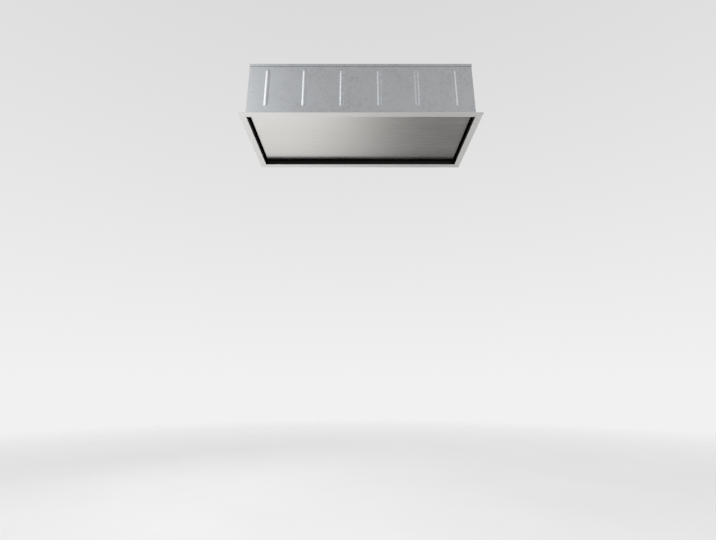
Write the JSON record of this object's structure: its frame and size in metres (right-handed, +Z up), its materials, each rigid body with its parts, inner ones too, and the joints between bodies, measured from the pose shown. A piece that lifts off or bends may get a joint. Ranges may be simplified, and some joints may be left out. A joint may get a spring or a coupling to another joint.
{
  "type": "ceiling range hood",
  "caption": "Flush ceiling range hood with a slim steel frame, a recessed swing-down panel, slot suction all round, grease filters, blower and duct spigot.",
  "frame": {"origin": "centre of the visible frame, in the plane of its lower face", "axes": "+X along the hood's length, +Y from the viewer to the back, +Z up into the ceiling"},
  "size_m": [1.2, 0.5, 0.376],
  "materials": {
    "frame_steel": "brushed stainless steel, grain along the hood's length",
    "panel_steel": "brushed stainless steel, fine grain along the hood's length",
    "seal_rubber": "matt black foam rubber",
    "casing_sheet": "hot-dip galvanised sheet with faint spangle",
    "collar_paint": "satin black powder coat",
    "bracket_paint": "satin black powder coat",
    "zinc_hardware": "bright zinc-plated steel",
    "latch_plastic": "moulded black acetal",
    "plunger_plastic": "moulded grey acetal",
    "tray_sheet": "galvanised sheet",
    "filter_channel": "mill-finish aluminium channel",
    "filter_pleats": "expanded aluminium mesh, pleated",
    "magnet_shell": "black moulded magnet housing",
    "scroll_plastic": "moulded grey polypropylene",
    "inlet_plastic": "moulded black polypropylene",
    "impeller_plastic": "moulded black nylon",
    "motor_casting": "die-cast aluminium",
    "gasket_rubber": "matt black foam rubber",
    "spigot_sheet": "spun galvanised sheet",
    "flap_plastic": "moulded black polypropylene",
    "box_plastic": "moulded black plastic, fine grain",
    "board_laminate": "green board with moulded components",
    "gland_plastic": "moulded grey nylon",
    "lead_rubber": "black rubber sheath"
  },
  "bodies": {
    "root": {"ceiling_frame": "frame_steel", "frame_seal": "seal_rubber", "casing_front_wall": "casing_sheet", "casing_back_wall": "casing_sheet", "casing_left_wall": "casing_sheet", "casing_right_wall": "casing_sheet", "casing_lid": "casing_sheet", "air_collar": "collar_paint", "hinge_bracket_left": "bracket_paint", "hinge_pin_left": "zinc_hardware", "latch_housing_left": "latch_plastic", "hinge_bracket_right": "bracket_paint", "hinge_pin_right": "zinc_hardware", "latch_housing_right": "latch_plastic", "filter_tray": "tray_sheet", "filter_ledge": "tray_sheet", "filter_magnet_left": "magnet_shell", "filter_magnet_middle": "magnet_shell", "filter_magnet_right": "magnet_shell", "scroll_shell_left": "scroll_plastic", "inlet_ring_left": "inlet_plastic", "scroll_shell_right": "scroll_plastic", "inlet_ring_right": "inlet_plastic", "motor": "motor_casting", "motor_bracket": "zinc_hardware", "blower_plate": "casing_sheet", "outlet_gasket": "gasket_rubber", "duct_spigot": "spigot_sheet", "damper_spindle": "zinc_hardware", "control_box": "box_plastic", "control_box_lid": "box_plastic", "control_board": "board_laminate", "cable_gland": "gland_plastic", "motor_lead": "lead_rubber", "hanger_front_left": "zinc_hardware", "hanger_front_right": "zinc_hardware", "hanger_back_left": "zinc_hardware", "hanger_back_right": "zinc_hardware"},
    "panel": {"centre_panel": "panel_steel", "panel_rib_front": "zinc_hardware", "panel_rib_back": "zinc_hardware", "hinge_lug_left": "zinc_hardware", "hinge_lug_right": "zinc_hardware", "strike_plate_left": "zinc_hardware", "strike_plate_right": "zinc_hardware"},
    "plunger_left": {"latch_plunger_left": "plunger_plastic"},
    "plunger_right": {"latch_plunger_right": "plunger_plastic"},
    "filter_left": {"filter_frame_left": "filter_channel", "filter_mesh_left": "filter_pleats", "filter_handle_left": "zinc_hardware"},
    "filter_middle": {"filter_frame_middle": "filter_channel", "filter_mesh_middle": "filter_pleats", "filter_handle_middle": "zinc_hardware"},
    "filter_right": {"filter_frame_right": "filter_channel", "filter_mesh_right": "filter_pleats", "filter_handle_right": "zinc_hardware"},
    "rotor": {"impeller": "impeller_plastic", "motor_shaft": "zinc_hardware"},
    "flap_front": {"damper_flap_front": "flap_plastic"},
    "flap_back": {"damper_flap_back": "flap_plastic"}
  },
  "joints": [
    {"name": "panel_swing", "type": "hinge", "parent": "root", "child": "panel", "pos_m": [0, 0.197, 0.039], "axis": [1, 0, 0], "range_deg": [0, 90]},
    {"name": "latch_press_left", "type": "slide", "parent": "root", "child": "plunger_left", "axis": [0, 0, 1], "range_m": [0, 0.004], "stiffness_N_per_m": 400, "springref_m": -0.004},
    {"name": "latch_press_right", "type": "slide", "parent": "root", "child": "plunger_right", "axis": [0, 0, 1], "range_m": [0, 0.004], "stiffness_N_per_m": 400, "springref_m": -0.004},
    {"name": "filter_drop_left", "type": "hinge", "parent": "root", "child": "filter_left", "pos_m": [-0.356, 0.154, 0.11085], "axis": [1, 0, 0], "range_deg": [0, 10]},
    {"name": "filter_drop_middle", "type": "hinge", "parent": "root", "child": "filter_middle", "pos_m": [0, 0.154, 0.11085], "axis": [1, 0, 0], "range_deg": [0, 10]},
    {"name": "filter_drop_right", "type": "hinge", "parent": "root", "child": "filter_right", "pos_m": [0.356, 0.154, 0.11085], "axis": [1, 0, 0], "range_deg": [0, 10]},
    {"name": "rotor_spin", "type": "hinge", "parent": "root", "child": "rotor", "pos_m": [0, -0.08075, 0.22804], "axis": [1, 0, 0], "continuous": true},
    {"name": "flap_front_lift", "type": "hinge", "parent": "root", "child": "flap_front", "pos_m": [0, 0, 0.338], "axis": [-1, 0, 0], "range_deg": [0, 75]},
    {"name": "flap_back_lift", "type": "hinge", "parent": "root", "child": "flap_back", "pos_m": [0, 0, 0.338], "axis": [1, 0, 0], "range_deg": [0, 75]}
  ]
}
